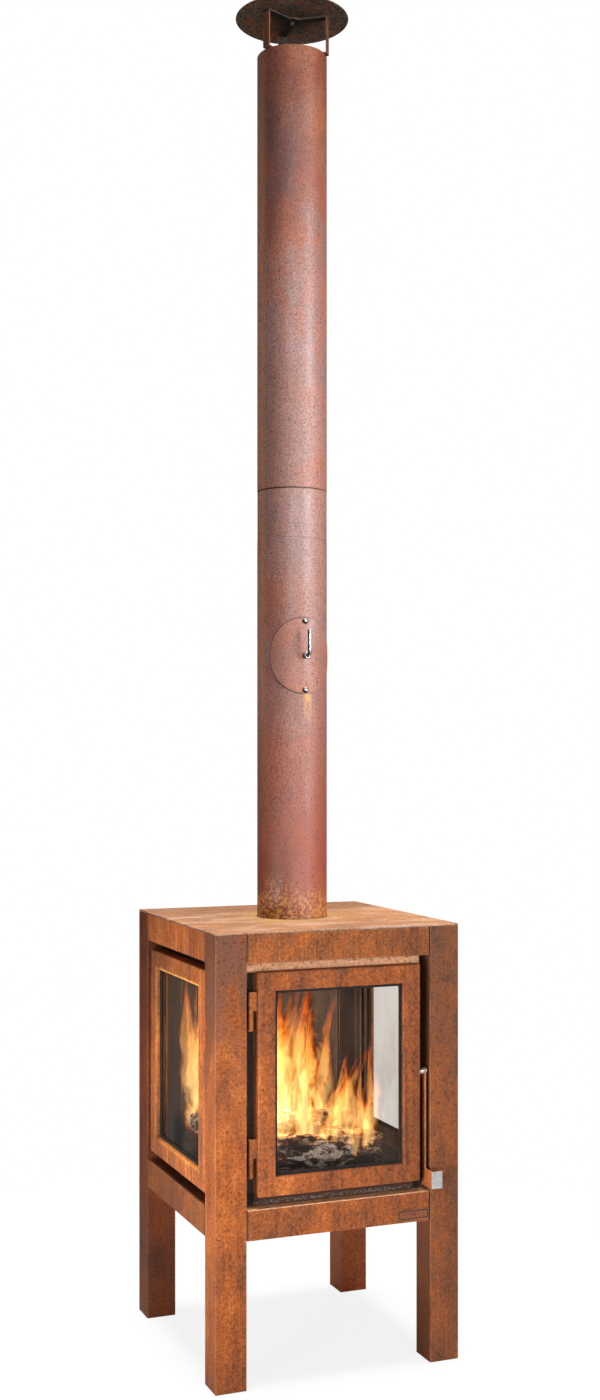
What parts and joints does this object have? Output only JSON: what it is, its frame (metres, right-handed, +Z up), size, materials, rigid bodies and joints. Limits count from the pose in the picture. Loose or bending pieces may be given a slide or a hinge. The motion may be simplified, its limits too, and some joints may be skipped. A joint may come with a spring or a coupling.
{
  "type": "outdoor wood stove",
  "caption": "Square outdoor wood stove on four legs with a glazed door, side windows, a tall flue pipe with damper, and a rain cap.",
  "frame": {"origin": "on the ground, midway between the four legs", "axes": "+Z up along the flue; the door faces -Y and is hinged on its -X side"},
  "size_m": [0.53, 0.558, 2.8403],
  "materials": {
    "weathering_steel": "matte",
    "pipe_steel": "matte",
    "sooted_steel": "matte",
    "firebox_steel": "matte",
    "stainless_steel": "satin",
    "seal": "matte",
    "ceramic_glass": "polished"
  },
  "bodies": {
    "stove": {"leg_front_left": "weathering_steel", "leg_front_right": "weathering_steel", "leg_rear_left": "weathering_steel", "leg_rear_right": "weathering_steel", "lower_rail_front": "weathering_steel", "lower_rail_rear": "weathering_steel", "lower_rail_left": "weathering_steel", "lower_rail_right": "weathering_steel", "upper_rail_front": "weathering_steel", "upper_rail_rear": "weathering_steel", "upper_rail_left": "weathering_steel", "upper_rail_right": "weathering_steel", "top_plate": "weathering_steel", "label_plate": "weathering_steel", "firebox_front_frame": "firebox_steel", "firebox_left_frame": "firebox_steel", "firebox_right_frame": "firebox_steel", "firebox_back": "weathering_steel", "firebox_floor": "firebox_steel", "firebox_roof": "firebox_steel", "fire_grate": "firebox_steel", "baffle_plate": "firebox_steel", "window_frame_left": "weathering_steel", "window_left_gasket": "seal", "window_left_glass": "ceramic_glass", "window_left_retainer": "firebox_steel", "window_frame_right": "weathering_steel", "window_right_gasket": "seal", "window_right_glass": "ceramic_glass", "window_right_retainer": "firebox_steel", "hinge_lower_fixed_knuckle": "weathering_steel", "hinge_lower_pin": "stainless_steel", "hinge_upper_fixed_knuckle": "weathering_steel", "hinge_upper_pin": "stainless_steel", "latch_keeper": "stainless_steel", "flue_collar": "firebox_steel", "flue_pipe_lower": "pipe_steel", "flue_coupler": "pipe_steel", "flue_pipe_upper": "pipe_steel", "hatch_cover": "pipe_steel", "hatch_bolt_upper": "stainless_steel", "hatch_bolt_lower": "stainless_steel", "damper_bush": "stainless_steel", "cap_disc": "sooted_steel", "cap_bracket": "sooted_steel", "cap_bolt": "sooted_steel"},
    "door": {"door_frame": "weathering_steel", "door_gasket": "seal", "door_glass": "ceramic_glass", "door_retainer": "firebox_steel", "door_rope_seal": "seal", "hinge_lower_door_knuckle": "weathering_steel", "hinge_upper_door_knuckle": "weathering_steel", "latch_pivot_bolt": "stainless_steel", "latch_spacer": "stainless_steel"},
    "latch": {"latch_lever": "weathering_steel"},
    "damper": {"damper_spindle": "stainless_steel", "damper_flap": "sooted_steel"}
  },
  "joints": [
    {"name": "door_hinge", "type": "hinge", "parent": "stove", "child": "door", "pos_m": [-0.1875, -0.2524, 0.597], "axis": [0, 0, -1], "range_deg": [0, 100]},
    {"name": "latch_swing", "type": "hinge", "parent": "door", "child": "latch", "pos_m": [0.192, -0.2535, 0.598], "axis": [-1, 0, 0], "range_deg": [0, 60]},
    {"name": "damper_turn", "type": "hinge", "parent": "stove", "child": "damper", "pos_m": [0, 0, 1.458], "axis": [0, 1, 0], "range_deg": [0, 90]}
  ]
}
